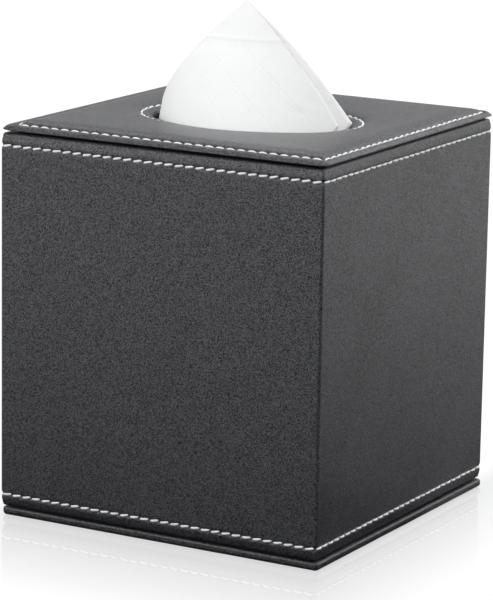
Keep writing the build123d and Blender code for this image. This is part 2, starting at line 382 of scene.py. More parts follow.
def make_wall_skin(context):
    """One strip of leather round the walls, pulled in at its two rows and turned over both edges."""
    leather, stitch = context.scene.cover_leather, context.scene.cover_stitch
    low, high, turn_in = wall_low.z, wall_high.z, leather.turn_in
    edge_curl, curl_start, curl_run = 0.36 * mm, 0.3 * mm, 2.5 * mm
    least_corner, stitch_columns = 0.25 * mm, 11
    count, step = side_stitches(2 * wall_half, stitch)
    square = SquareOutline(count * stitch_columns)
    board_in = leather_thickness + leather.wall_board
    skin_in = board_in + leather_thickness

    profile = [(board_in, low + turn_in), (skin_in, low + turn_in), (skin_in, low + 0.5 * mm),
               (skin_in - 0.4 * mm, low), (skin_in - 1.2 * mm, low)]
    roll = [(1.9, 0.0), (1.4, 0.08), (1.05, 0.27), (0.75, 0.55), (0.56, 0.9), (0.45, 1.25), (0.36, 1.65)]
    profile += [(inset * mm, low + rise * mm) for inset, rise in roll]
    near_row = np.array([-2.2, -1.5, -1.05, -0.75, -0.5, -0.25, 0.0, 0.25, 0.5, 0.75, 1.05, 1.5, 2.2]) * mm
    rows = [lower_row_height + near_row, upper_row_height + near_row]
    middle = np.linspace(rows[0][-1], rows[1][0], 12)[1:-1]
    profile += [(0.0, height) for height in np.concatenate([rows[0], middle, rows[1]])]
    roll = [(0.36, 1.6), (0.44, 1.2), (0.54, 0.85), (0.66, 0.52), (0.9, 0.26), (1.2, 0.08), (1.6, 0.0)]
    profile += [(inset * mm, high - drop * mm) for inset, drop in roll]
    inner_low, inner_high = low + leather_thickness, high - leather_thickness
    profile += [(skin_in - 1.2 * mm, high), (skin_in - 0.4 * mm, high), (skin_in, high - 0.5 * mm),
                (skin_in, high - turn_in), (board_in, high - turn_in), (board_in, inner_high),
                (leather_thickness, inner_high), (leather_thickness, inner_low), (board_in, inner_low),
                (board_in, low + turn_in)]

    place = square.places(wall_half, leather.wall_corner)
    rings = []
    for inset, height in profile:
        ring = square.ring(wall_half - inset, max(leather.wall_corner - inset, least_corner))
        past_row = max(height - upper_row_height, lower_row_height - height) - curl_start
        if inset == 0 and past_row > 0:
            ring = ring - square.normal * edge_curl * (past_row / curl_run) ** 2
        if inset < leather_thickness / 2:
            pull = sum(pulled(height - row, place, step, count / 2, stitch.wall_valley, stitch)
                       for row in (lower_row_height, upper_row_height))
            wave = wavy(place + square.side * wave_step, height, leather.waviness)
            pull = pull - wave * square.off_corner()
            ring = ring - square.normal * pull[:, None]
        bed = hinge_bed_share(ring[:, 0], ring[:, 1], height)
        ring[:, 1] -= bed * np.maximum(ring[:, 1] - hinge_low.y, 0)
        rings.append(level_ring(ring, height))
    piece = grid_of_points("wall_skin", np.array(rings))
    close_mesh(piece)
    dress(piece, "cover", "leather", leather_finish(context), "wall_leather")


def hinge_bed_share(x, y, height):
    """1 where the hinge strip lies in the back wall's leather and 0 away from it."""
    edge = 0.25 * mm
    inside = ease((hinge_high.x - np.abs(x)) / edge + 1) * ease((hinge_high.z - height) / edge + 1)
    return inside * (y > hinge_low.y - 2 * mm)


def make_lid_skin(context):
    """The padded lid's leather: lip round the mouth, crown, bead at the edge and turned-in margin."""
    scene = context.scene
    leather, mouth, stitch = scene.cover_leather, scene.cover_mouth, scene.cover_stitch
    row_half, row_corner, stitch_columns = lid_half - stitch.lid_inset, 1.2 * mm, 8
    count, step = side_stitches(2 * row_half, stitch)
    square = SquareOutline(count * stitch_columns)
    oval = MouthOutline(mouth, square, lid_half, leather.lid_corner, stitch.mouth_offset)
    mouth_count = round(oval.length / stitch.pitch)
    mouth_step = oval.length / mouth_count
    under, board_under, board_top = lid_low.z, board_low.z, board_high.z
    edge_ramp, mouth_ramp, pad_ramp = 7 * mm, 20 * mm, 5 * mm
    crown_rise, slow_share, slow_power = 1.55 * crown_height, 0.55, 1.6
    corner_shrink, least_corner = 0.62, 1.1 * mm
    shift_start = 2.2

    def inner_ring(inset):
        return square.ring(lid_half - inset, max(leather.lid_corner - corner_shrink * inset, least_corner))

    def edge_ring(inset):
        shift = lid_shift + (lid_row_shift - lid_shift) * float(ease(inset / mm - shift_start))
        return inner_ring(inset) + (shift, 0)

    def top_ring(points):
        inside_row = row_half - np.max(np.abs(points - (lid_row_shift, 0)), axis=1)
        reach = oval.distance(points)
        place = square.places(row_half, row_corner)
        outside_row = reach - stitch.mouth_offset
        padding = slow_share * swell(outside_row / mouth_ramp, slow_power)
        padding = padding + (1 - slow_share) * swell(outside_row / pad_ramp)
        crown = swell(inside_row / edge_ramp) * padding
        pull = pulled(inside_row, place, step, count / 2, stitch.lid_valley, stitch)
        pull += pulled(outside_row, oval.places, mouth_step, 0.5, stitch.lid_valley, stitch)
        roll = np.clip((mouth.lip_width - reach) / mouth.lip_width, 0, 1)
        height = bead_top + crown_rise * crown - pull - mouth.lip_drop * (1 - np.sqrt(1 - roll ** 2))
        height += wavy(points[:, 0], points[:, 1], leather.waviness) * crown
        return np.column_stack([points, height])

    rings = [level_ring(oval.ring(mouth.turn_in), height) for height in (board_under, under)]
    throat = [(3.0, 0.0), (1.2, 0.02), (0.5, 0.1), (0.15, 0.24), (0.02, 0.42)]
    rings += [level_ring(oval.ring(offset * mm), under + rise * mm) for offset, rise in throat]
    mouth_rows = [0.0, 0.03, 0.12, 0.28, 0.5, 0.8, 1.15, 1.55, 2.0, 2.4, 2.75, 3.05, 3.3, 3.55, 3.8, 4.0,
                  4.2, 4.45, 4.7, 5.0, 5.4, 6.0, 7.0, 8.5]
    rings += [top_ring(oval.ring(offset * mm)) for offset in mouth_rows]
    edge_rows = [9.0, 7.8, 6.7, 5.8, 5.3, 4.9, 4.55, 4.27, 4.03, 3.8, 3.57, 3.33, 3.05, 2.7, 2.35, 1.95]
    inner, outer = oval.ring(mouth_rows[-1] * mm), edge_ring(edge_rows[0] * mm)
    rings += [top_ring(inner + (outer - inner) * share) for share in np.linspace(0, 1, 10)[1:-1]]
    rings += [top_ring(edge_ring(inset * mm)) for inset in edge_rows]
    rim = [(1.6, 0.17), (1.35, 0.29), (1.1, 0.44), (0.88, 0.61), (0.68, 0.78), (0.5, 0.93), (0.36, 1.05),
           (0.26, 1.15), (0.19, 1.27), (0.14, 1.39), (0.11, 1.5), (0.13, 1.6), (0.24, 1.68), (0.45, 1.76),
           (0.8, 1.86), (1.4, 2.0), (2.2, 2.2), (3.0, 2.45), (3.6, 2.7)]
    rings += [level_ring(edge_ring(inset * mm), bead_top - drop * mm) for inset, drop in rim]
    foam_edge = lid_half - foam_high.x
    foam_slope = 4.0 * mm
    foam_reach = stitch.mouth_offset + foam_edge - stitch.lid_inset
    board_edge = lid_half - board_high.x
    turned = leather.turn_in + lid_bulge
    inside = [(turned, under), (turned, board_under), (board_edge, board_under), (board_edge, board_top),
              (foam_edge, board_top), (foam_edge + foam_slope, foam_high.z)]
    rings += [level_ring(inner_ring(inset), height) for inset, height in inside]
    inside = [(foam_reach + foam_slope, foam_high.z), (foam_reach, board_top),
              (mouth.board_margin, board_top), (mouth.board_margin, board_under),
              (mouth.turn_in, board_under)]
    rings += [level_ring(oval.ring(offset), height) for offset, height in inside]
    piece = grid_of_points("lid_skin", np.array(rings))
    close_mesh(piece)
    dress(piece, "cover", "leather", leather_finish(context), "lid_leather")


def select_edges(piece, wanted):
    """In edit mode, select only the edges that wanted accepts, by their two end points."""
    bpy.ops.mesh.select_all(action="DESELECT")
    bpy.ops.mesh.select_mode(type="EDGE")
    bpy.ops.object.mode_set(mode="OBJECT")
    points = piece.data.vertices
    for edge in piece.data.edges:
        edge.select = wanted(points[edge.vertices[0]].co, points[edge.vertices[1]].co)
    bpy.ops.object.mode_set(mode="EDIT")


def add_block(name, low, high):
    """A cube primitive at its size and place, in edit mode."""
    bpy.ops.object.select_all(action="DESELECT")
    low, high = Vector(low), Vector(high)
    bpy.ops.mesh.primitive_cube_add(size=1.0, location=(low + high) / 2, scale=high - low)
    piece = bpy.context.object
    piece.name = name
    bpy.ops.object.transform_apply(location=True, rotation=True, scale=True)
    bpy.ops.object.mode_set(mode="EDIT")
    return piece


def make_base_skin(context):
    """The base flap's leather: round its board and over its top edge, with a bed for the cloth."""
    leather = context.scene.cover_leather
    half, top, board_top = flap_high.x, flap_high.z, lining_low.z
    cloth_in = half - lining_high.x
    rim_width, bed_edge, unevenness, least_corner = 3 * mm, 0.3 * mm, 0.07 * mm, 0.25 * mm
    inner_foot, wave_stretch, side_columns = 1.1 * mm, 1.7, 124
    square = SquareOutline(side_columns)
    foot = [(1.3, 0.0), (0.9, 0.07), (0.55, 0.22), (0.28, 0.46), (0.1, 0.82), (0.0, 1.2), (0.0, 1.35),
            (0.0, 1.5), (0.0, 1.65), (0.0, 1.85), (0.0, 2.1)]
    head = [(0.06, 0.58), (0.2, 0.3), (0.45, 0.09), (0.9, 0.0)]
    profile = [(half, 0.0), (cloth_in, 0.0)] + [(inset * mm, rise * mm) for inset, rise in foot]
    profile += [(inset * mm, top - drop * mm) for inset, drop in head]
    profile += [(cloth_in, top), (cloth_in, board_top), (leather_thickness, board_top),
                (leather_thickness, inner_foot), (inner_foot, leather_thickness), (half, leather_thickness)]
    place = square.places(half, leather.flap_corner) * wave_stretch + square.side * wave_step
    rings = []
    for inset, height in profile:
        corner = min(max(leather.flap_corner - inset, least_corner), half - inset)
        ring = square.ring(half - inset, corner)
        at_rim = 1 - ease(inset / rim_width)
        wave = wavy(place, height, unevenness) * square.off_corner() * at_rim
        ring = ring - square.normal * wave[:, None]
        ring[:, 0] += flap_overhang * at_rim * ease((ring[:, 0] - half) / rim_width + 1)
        bed = ease((hinge_high.x - np.abs(ring[:, 0])) / bed_edge + 1)
        bed = bed * ease((height - hinge_low.z) / bed_edge + 1)
        ring[:, 1] -= bed * np.maximum(ring[:, 1] - hinge_low.y, 0)
        rings.append(level_ring(ring, height))
    piece = grid_of_points("base_skin", np.array(rings))
    close_mesh(piece)
    dress(piece, "base_flap", "leather", leather_finish(context), "base_leather")


def make_hinge(context):
    """The leather strip that the base flap swings on, thin at its long edges."""
    piece = add_block("hinge_leather", hinge_low, hinge_high)
    rows, columns = 28, 54
    thin_edge, thinned, least_run = 0.7 * mm, 0.75, 50 * mm
    for row in range(1, rows):
        height = hinge_low.z + (hinge_high.z - hinge_low.z) * row / rows
        bpy.ops.mesh.select_all(action="SELECT")
        bpy.ops.mesh.bisect(plane_co=(0, 0, height), plane_no=(0, 0, 1))
    select_edges(piece, lambda a, b: abs(a.x - b.x) > least_run)
    bpy.ops.mesh.subdivide(number_cuts=columns)
    bpy.ops.object.mode_set(mode="OBJECT")
    for vertex in piece.data.vertices:
        place = vertex.co
        margin = min(hinge_high.z - place.z, place.z - hinge_low.z, hinge_high.x - abs(place.x))
        thin = thinned * float(1 - swell(margin / thin_edge))
        place.y -= thin * max(place.y - hinge_low.y, 0)
    close_mesh(piece)
    dress(piece, None, "leather", leather_finish(context), "hinge_strip")
    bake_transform(piece)


def make_stitch(context, length):
    """One stitch along X: a round of thread that rises from one hole and dives into the next."""
    stitch = context.scene.cover_stitch
    flatness, end_dive, end_taper = 0.86, 1.5, 5
    bpy.ops.object.select_all(action="DESELECT")
    bpy.ops.mesh.primitive_uv_sphere_add(segments=8, ring_count=8, radius=1.0)
    piece = bpy.context.object
    half = length / 2
    for vertex in piece.data.vertices:
        along = vertex.co.z
        round_off = max(1 - along ** 2, 1e-6) ** 0.5
        across, up = vertex.co.x / round_off, vertex.co.y / round_off
        radius = stitch.thickness / 2 * (1 - abs(along) ** end_taper) ** 0.5
        rise = stitch.arch * (1 - end_dive * along ** 2)
        vertex.co = (half * along, radius * across, radius * flatness * up + rise)
    bpy.ops.object.shade_smooth()
    return piece


def stitch_row(context, name, places, node, length, seed, lean=0.0):
    """One stitch copied to places, each a point, the way along the row and the way out of the leather."""
    draw = random.Random(seed)
    loose_turn, loose_side, loose_lift = 3.5, 0.05, 0.04
    master = make_stitch(context, length)
    copies = []
    for point, way, out in places:
        copy = master.copy()
        copy.data = master.data.copy()
        context.scene.collection.objects.link(copy)
        way, out = Vector(way).normalized(), Vector(out).normalized()
        slant = math.radians(lean * abs(way.x) + draw.uniform(-loose_turn, loose_turn))
        way = Matrix.Rotation(slant, 3, out) @ way
        across = out.cross(way)
        turned = Matrix((way, across, out)).transposed().to_4x4()
        shift = Vector(point) + across * draw.uniform(-loose_side, loose_side) * mm
        shift = shift + out * draw.uniform(-loose_lift, loose_lift) * mm
        copy.matrix_world = Matrix.Translation(shift) @ turned
        copies.append(copy)
    piece = join_parts(copies)
    bpy.ops.object.transform_apply(location=True, rotation=True, scale=True)
    piece.name = name
    bpy.data.objects.remove(master)
    dress(piece, "cover", "thread", thread_finish(context), node)


def make_thread(context):
    """The four rows of white thread, each stitch between two needle holes."""
    scene = context.scene
    stitch, mouth, leather = scene.cover_stitch, scene.cover_mouth, scene.cover_leather
    wall_length, lid_length, mouth_length, wall_lean = 0.85, 0.95, 0.9, 9.0
    mouth_seed, side_columns = 7, 400
    lid_row_half = lid_half - stitch.lid_inset
    rows = [("upper_wall_thread", "upper_wall_stitching", wall_half, upper_row_height, stitch.wall_valley),
            ("lower_wall_thread", "lower_wall_stitching", wall_half, lower_row_height, stitch.wall_valley),
            ("lid_edge_thread", "lid_edge_stitching", lid_row_half, bead_top, stitch.lid_valley)]
    for seed, (name, node, half, height, depth) in enumerate(rows):
        upright = height < bead_top
        count, step = side_stitches(2 * half, stitch)
        places = []
        for side in range(4):
            facing = (side - 1) * math.pi / 2
            out = Vector((math.cos(facing), math.sin(facing), 0))
            way = Vector((-math.sin(facing), math.cos(facing), 0))
            lift = out if upright else Vector((0, 0, 1))
            base = out * half + Vector((0 if upright else lid_row_shift, 0, height)) - lift * depth
            runs = [(number - (count - 1) / 2) * step for number in range(count)]
            places += [(base + way * run, way, lift) for run in runs]
        length, lean = (wall_length, wall_lean) if upright else (lid_length, 0.0)
        stitch_row(context, name, places, node, length * stitch.pitch, seed, lean)

    square = SquareOutline(side_columns)
    oval = MouthOutline(mouth, square, lid_half, leather.lid_corner, stitch.mouth_offset)
    count = round(oval.length / stitch.pitch)
    wanted = np.arange(count) / count * oval.length
    order = np.argsort(oval.places[:-1])
    facing = np.unwrap(np.arctan2(oval.normal[order, 1], oval.normal[order, 0]))
    facing = np.interp(wanted, oval.places[order], facing)
    normal = headings(facing)
    ring = oval.on_oval(normal) + stitch.mouth_offset * normal
    height = bead_top - stitch.lid_valley
    places = [((x, y, height), (-out[1], out[0], 0), (0, 0, 1)) for (x, y), out in zip(ring, normal)]
    stitch_row(context, "mouth_thread", places, "mouth_stitching", mouth_length * stitch.pitch, mouth_seed)


def make_tissue(context):
    """The tissue in the mouth, folded at its left, with the back layer showing past the front one."""
    tissue, mouth = context.scene.cover_tissue, context.scene.cover_mouth
    across_front, across_back, rows, closer_at_tip = 90, 84, 110, 1.15
    tip_half, tip_play, mouth_play, least_reach = 0.25 * mm, 0.2 * mm, 0.6 * mm, 0.2 * mm
    narrow_run, back_run, open_run = 2 * mm, 20 * mm, 22 * mm
    tip, foot = tissue_high.z - tip_play, tissue_low.z
    half_mouth, widest = tissue_high.x, 36.6 * mm
    slope, slant = math.tan(tissue.lean), math.cos(tissue.lean)
    cosine, sine = math.cos(tissue.turn), math.sin(tissue.turn)
    front = tissue.front_gap - mouth.width / 2
    left_outline = (1.141, -0.00657, 0.000015)
    right_outline = (1.363, -0.01405, 0.000041)

    def outline_reach(drop, outline):
        fall = drop / mm
        return tip_half + drop * (outline[0] + outline[1] * fall + outline[2] * fall ** 2)

    share = np.concatenate([np.linspace(1, -1, across_front), np.linspace(-1, 1, across_back)[1:]])
    is_back = np.arange(len(share)) >= across_front
    drops = (tip - foot) * np.linspace(0, 1, rows) ** closer_at_tip
    points = []
    for drop in drops:
        height = tip - drop
        above = max(height - bead_top, 0) / (tip - bead_top)
        narrow = half_mouth - mouth_play * float(ease((bead_top - height) / narrow_run))
        left = min(outline_reach(drop, left_outline), narrow + mouth_play)
        half = min(outline_reach(drop, right_outline), narrow)
        reach = np.where(share < 0, left, half)
        front_half = half - tissue.back_reach * ease(drop / back_run)
        reach = np.where((share > 0) & ~is_back, front_half, reach)
        x = share * np.maximum(reach, least_reach)
        off_middle = np.minimum(np.abs(x), widest)
        bow = (tissue.bow_radius - np.sqrt(tissue.bow_radius ** 2 - off_middle ** 2)) / slant
        y = front + (height - bead_top) * slope + bow
        from_fold = 1 + share
        gap = tissue.layer_gap * np.sqrt(np.clip(from_fold, 0, 1)) * (1 - 0.35 * ease(from_fold - 0.9))
        y = y + np.where(is_back, gap * ease(half / open_run), 0)
        y = y + tissue_folds(x, height, drop, share, is_back, tissue, above)
        points.append(level_ring(np.column_stack([x * cosine - y * sine, x * sine + y * cosine]), height))
    points = np.array(points)
    piece = grid_of_points("tissue", points)
    set_flat_map(piece, points)
    close_mesh(piece, 0.02 * mm)
    thicken(piece, tissue.thickness)
    dress(piece, "cover", "tissue", tissue_finish(context), "tissue_sheet")


def tissue_folds(x, height, drop, share, is_back, tissue, above):
    """Old fold, soft bulges and small wrinkles of the standing tissue, as a move towards the back."""
    past_crease = (tissue.crease_drop - drop) / mm
    bend = -0.06 * mm * np.log1p(np.exp(np.clip(past_crease * 1.6, -30, 30))) / 1.6
    ridge = 0.08 * mm * gauss(past_crease + 2.4, 1.8) - 0.13 * mm * gauss(past_crease, 0.6)
    fade = ease((drop - 8 * mm) / (26 * mm))
    soft = 0.55 * mm * np.sin(x / (9.5 * mm) + 0.7 + drop / (38 * mm)) * fade
    soft = soft + 0.22 * mm * np.sin(x / (4.1 * mm) - drop / (15 * mm) + 1.1) * fade
    small = 0.1 * mm * np.sin(x / (2.4 * mm) + height / (4.3 * mm)) * ease((drop - 24 * mm) / (14 * mm))
    small = small * ease((share - 0.15) / 0.5)
    pucker = 0.3 * mm * gauss(x - 24 * mm, 6 * mm) * gauss(height - bead_top - 7 * mm, 3.2 * mm)
    pucker = pucker * np.sin((x + 1.6 * (height - bead_top)) / (1.5 * mm))
    inside = 0.35 + 0.65 * above
    return (bend + ridge) * np.where(is_back, 0.6, 1.0) + (soft + small + pucker) * inside


def set_flat_map(piece, points):
    """Give the sheet a UV map in metres, as it would lie flat."""
    rows, columns = points.shape[:2]
    across = np.linalg.norm(np.diff(points, axis=1), axis=2)
    across = np.concatenate([np.zeros((rows, 1)), np.cumsum(across, axis=1)], axis=1)
    across = across - across[:, columns // 4][:, None]
    up = np.concatenate([[0], np.cumsum(np.linalg.norm(np.diff(points[:, columns // 4], axis=0), axis=1))])
    layer = piece.data.uv_layers.active
    corner = np.empty(len(layer.data) * 2)
    layer.data.foreach_get("uv", corner)
    corner = corner.reshape(-1, 2)
    column = np.rint(corner[:, 0] * (columns - 1)).astype(int)
    row = np.rint(corner[:, 1] * (rows - 1)).astype(int)
    flat = np.column_stack([across[row, column], up[row]])
    layer.data.foreach_set("uv", flat.ravel())


def folded_tissue(name, first, last, height, seed):
    """One tissue of the pile, folded over at last: two level runs and a round fold between them."""
    radius, side_play, unevenness, thickness = 0.22 * mm, 1.5 * mm, 0.1 * mm, 0.1 * mm
    bend = np.linspace(-math.pi / 2, math.pi / 2, 9)
    run = np.linspace(first, last, 18)
    way = math.copysign(1, last - first)
    y = np.concatenate([run, last + way * radius * np.cos(bend), run[::-1]])
    z = height + radius * (1 + np.concatenate([-np.ones(len(run)), np.sin(bend), np.ones(len(run))]))
    x = np.linspace(side_play - pile_high.x, pile_high.x - side_play, 40)
    points = np.empty((len(y), len(x), 3))
    points[:, :, 0] = x
    points[:, :, 1] = y[:, None]
    points[:, :, 2] = z[:, None] + wavy(x * 0.6 + seed * 9 * mm, y[:, None], unevenness)
    piece = grid_of_points(name, points)
    close_mesh(piece)
    thicken(piece, thickness)
    return piece


def make_pile(context):
    """The folded tissues in the carton: a soft block with the last three folds lying loose on top."""
    loose, soft_edge, end_play = 1.6 * mm, 1.2 * mm, 1.8 * mm
    piece = add_block("tissue_pile", pile_low, pile_high - Vector((0, 0, loose)))
    bpy.ops.mesh.select_all(action="SELECT")
    bpy.ops.mesh.bevel(offset=soft_edge, segments=3, affect="EDGES")
    bpy.ops.object.mode_set(mode="OBJECT")
    end, block_top = pile_high.y - end_play, pile_high.z - loose
    runs = ((-1, 1, 0.15), (0.35, -1, 0.6), (-0.2, 1, 1.05))
    folds = [folded_tissue("fold", first * end, last * end, block_top + lift * mm, seed)
             for seed, (first, last, lift) in enumerate(runs)]
    join_parts([piece] + folds)
    bpy.ops.object.shade_smooth_by_angle(angle=math.radians(45))
    dress(piece, "cover", "tissue", tissue_finish(context), "tissue_stack")


def fill_socket(tree, socket, value):
    """Link a socket to another socket, or set it to a plain value."""
    if isinstance(value, bpy.types.NodeSocket):
        tree.links.new(value, socket)
    else:
        socket.default_value = value


def add_node(tree, kind, inputs=(), **settings):
    """A shader node with its settings, and its inputs set to values or linked to sockets."""
    node = tree.nodes.new(kind)
    for name, value in settings.items():
        setattr(node, name, value)
    for name, value in dict(inputs).items():
        fill_socket(tree, node.inputs[name], value)
    return node


def calculate(tree, operation, *values):
    """Result of a math node."""
    return add_node(tree, "ShaderNodeMath", enumerate(values), operation=operation).outputs[0]


def ranged(tree, value, start, end, low=0.0, high=1.0, way="LINEAR"):
    """A value mapped from the range of start to end to the range of low to high, and held at the ends."""
    inputs = {"Value": value, "From Min": start, "From Max": end, "To Min": low, "To Max": high}
    return add_node(tree, "ShaderNodeMapRange", inputs, interpolation_type=way).outputs["Result"]


def noise(tree, place, scale, detail):
    """A soft random value for each place."""
    inputs = {"Vector": place, "Scale": scale, "Detail": detail}
    return add_node(tree, "ShaderNodeTexNoise", inputs).outputs["Fac"]


def tint(tree, shader, value, first, second):
    """Colour a shader between two colours, by a value from 0 to 1."""
    node = add_node(tree, "ShaderNodeMix", {"Factor": value}, data_type="RGBA")
    node.inputs[6].default_value = first
    node.inputs[7].default_value = second
    tree.links.new(node.outputs[2], shader.inputs["Base Color"])


def raise_grain(tree, shader, height, strength, depth):
    """Give a shader the bump of a height."""
    bump = add_node(tree, "ShaderNodeBump", {"Height": height, "Strength": strength, "Distance": depth})
    tree.links.new(bump.outputs["Normal"], shader.inputs["Normal"])


def scaled(colour, factor):
    """A lighter or darker colour."""
    return tuple(channel * factor for channel in colour[:3]) + (1.0,)


def new_finish(name, **sockets):
    """A material with its shader's plain sockets set. Returns it with its tree and shader."""
    material = bpy.data.materials.new(name)
    material.use_nodes = True
    tree = material.node_tree
    shader = tree.nodes["Principled BSDF"]
    for socket, value in sockets.items():
        shader.inputs[socket.replace("_", " ")].default_value = value
    return material, tree, shader


def leather_finish(context):
    """Black leather with a fine grain of lighter and darker pebbles."""
    ready = bpy.data.materials.get("pebbled_leather")
    if ready:
        return ready
    leather = context.scene.cover_leather
    darkest, lightest, dullest, glossiest = 0.05, 1.95, 0.05, 0.9
    material, tree, shader = new_finish("pebbled_leather", Coat_Weight=0.37, Coat_Roughness=0.3)
    place = add_node(tree, "ShaderNodeTexCoord").outputs["Object"]
    pebble = add_node(tree, "ShaderNodeTexVoronoi", {"Vector": place, "Scale": 1 / leather.grain_size})
    dome = ranged(tree, pebble.outputs["Distance"], 0.6, 0.1)
    pores = calculate(tree, "MULTIPLY", noise(tree, place, 2.6 / leather.grain_size, 3.0), 0.5)
    raise_grain(tree, shader, calculate(tree, "ADD", dome, pores), 1.0, leather.grain_depth)
    shade = add_node(tree, "ShaderNodeSeparateColor", {"Color": pebble.outputs["Color"]}).outputs["Red"]
    each = ranged(tree, shade, 0.3, 0.7)
    tint(tree, shader, each, scaled(leather.colour, darkest), scaled(leather.colour, lightest))
    gloss = ranged(tree, each, 0.0, 1.0, dullest, glossiest)
    tree.links.new(gloss, shader.inputs["Specular IOR Level"])
    wear = calculate(tree, "MULTIPLY", noise(tree, place, 60.0, 3.0), 0.10)
    tree.links.new(calculate(tree, "ADD", wear, leather.roughness - 0.05), shader.inputs["Roughness"])
    return material


def thread_finish(context):
    """White twisted thread, with painted shade in the grooves between its plies."""
    ready = bpy.data.materials.get("white_thread")
    if ready:
        return ready
    white = tuple(context.scene.cover_stitch.colour)
    material, tree, shader = new_finish("white_thread", Roughness=0.62, Sheen_Weight=0.15)
    flat = add_node(tree, "ShaderNodeTexCoord").outputs["UV"]
    slanted = add_node(tree, "ShaderNodeMapping", {"Vector": flat, "Rotation": (0, 0, math.radians(32)),
                                                   "Scale": (3.0, 9.0, 1.0)}).outputs[0]
    twist_relief_and_shade = add_node(tree, "ShaderNodeTexWave", {"Vector": slanted, "Scale": 0.7, "Distortion": 0.6,
                                                 "Detail": 2.0}).outputs["Fac"]
    raise_grain(tree, shader, twist_relief_and_shade, 0.6, 0.1 * mm)
    # painted shade: the thread's colour is darker in the grooves between its plies, where the bump is low
    tint(tree, shader, twist_relief_and_shade, scaled(white, 0.88), white)
    return material


def tissue_finish(context):
    """Soft white tissue with a fine fibre and a diamond net of pressed dots."""
    ready = bpy.data.materials.get("soft_tissue")
    if ready:
        return ready
    white = tuple(context.scene.cover_tissue.colour)
    diamond, dot_step, dot_radius, dot_edge = 15 * mm, 1.5 * mm, 0.28 * mm, 0.45 * mm
    material, tree, shader = new_finish("soft_tissue", Roughness=0.95, Sheen_Weight=0.1,
                                        Specular_IOR_Level=0.15)
    coordinates = add_node(tree, "ShaderNodeTexCoord")
    place, flat = coordinates.outputs["Object"], coordinates.outputs["UV"]
    fibre = calculate(tree, "MULTIPLY", noise(tree, place, 2600.0, 4.0), 0.25)
    across, up = add_node(tree, "ShaderNodeSeparateXYZ", {"Vector": flat}).outputs[:2]
    net = [calculate(tree, "ADD", across, up), calculate(tree, "SUBTRACT", across, up)]
    dots = []
    for line, along in (net, reversed(net)):
        off_line = calculate(tree, "PINGPONG", line, diamond / 2)
        off_dot = calculate(tree, "PINGPONG", along, dot_step / 2)
        squares = [calculate(tree, "POWER", distance, 2.0) for distance in (off_line, off_dot)]
        far = calculate(tree, "SQRT", calculate(tree, "ADD", *squares))
        dots.append(ranged(tree, far, dot_radius, dot_edge, 1.0, 0.0))
    relief = calculate(tree, "SUBTRACT", fibre, calculate(tree, "MAXIMUM", *dots))
    raise_grain(tree, shader, relief, 0.5, 0.14 * mm)
    tint(tree, shader, noise(tree, place, 120.0, 3.0), scaled(white, 0.965), white)
    return material


def grained_finish(name, first, second, scale, stretch, roughness, depth, **sockets):
    """A plain material with a noise grain between two colours."""
    material, tree, shader = new_finish(name, Roughness=roughness, **sockets)
    place = add_node(tree, "ShaderNodeTexCoord").outputs["Object"]
    long = add_node(tree, "ShaderNodeMapping", {"Vector": place, "Scale": stretch}).outputs[0]
    grain = noise(tree, long, scale, 6.0)
    raise_grain(tree, shader, grain, 0.6, depth)
    tint(tree, shader, grain, first + (1.0,), second + (1.0,))
    return material


def finish_inner_parts():
    """Finishes for the solids that stay: boards, foam, cloth, magnets and the card carton."""
    even = (1, 1, 1)
    by_slot = {
        "board": grained_finish("raw_fibreboard", (0.36, 0.25, 0.16), (0.55, 0.42, 0.3), 900, even, 0.85,
                                0.05 * mm),
        "foam": grained_finish("foam_sheet", (0.6, 0.6, 0.58), (0.78, 0.78, 0.75), 2200, even, 0.95,
                               0.1 * mm),
        "lining": grained_finish("brushed_cloth", (0.012, 0.012, 0.013), (0.04, 0.04, 0.043), 1500,
                                 (1, 3.5, 1), 0.95, 0.12 * mm, Sheen_Weight=0.5),
        "magnet": grained_finish("plated_magnet", (0.5, 0.5, 0.52), (0.7, 0.7, 0.72), 700, (1, 12, 1), 0.3,
                                 0.01 * mm, Metallic=1.0),
        "card": grained_finish("white_card", (0.72, 0.71, 0.68), (0.86, 0.855, 0.83), 420, (1, 1, 3), 0.8,
                               0.04 * mm),
    }
    for part in frame["record"]["subparts"]:
        finish = by_slot.get(part["material_slot"])
        if finish:
            mesh = frame["nodes"][part["node"]].data
            mesh.materials.clear()
            mesh.materials.append(finish)


def facing_share(tree, way, turn, start, end, highest=1.0):
    """How far a level direction faces a side of the studio, which is turned from the front by turn."""
    towards = (math.sin(turn), -math.cos(turn), 0.0)
    facing = add_node(tree, "ShaderNodeVectorMath", {0: way, 1: towards}, operation="DOT_PRODUCT")
    return ranged(tree, facing.outputs["Value"], start, end, 0.0, highest, "SMOOTHSTEP")


def mixed(tree, share, first, second):
    """Two shaders mixed: all of the second where share is 1."""
    return add_node(tree, "ShaderNodeMixShader", {0: share, 1: first, 2: second}).outputs[0]


def shaded(tree, kind, **inputs):
    """Output of a white shader of one kind."""
    white = {"Color": (1, 1, 1, 1)}
    return add_node(tree, kind, {**white, **inputs}).outputs[0]


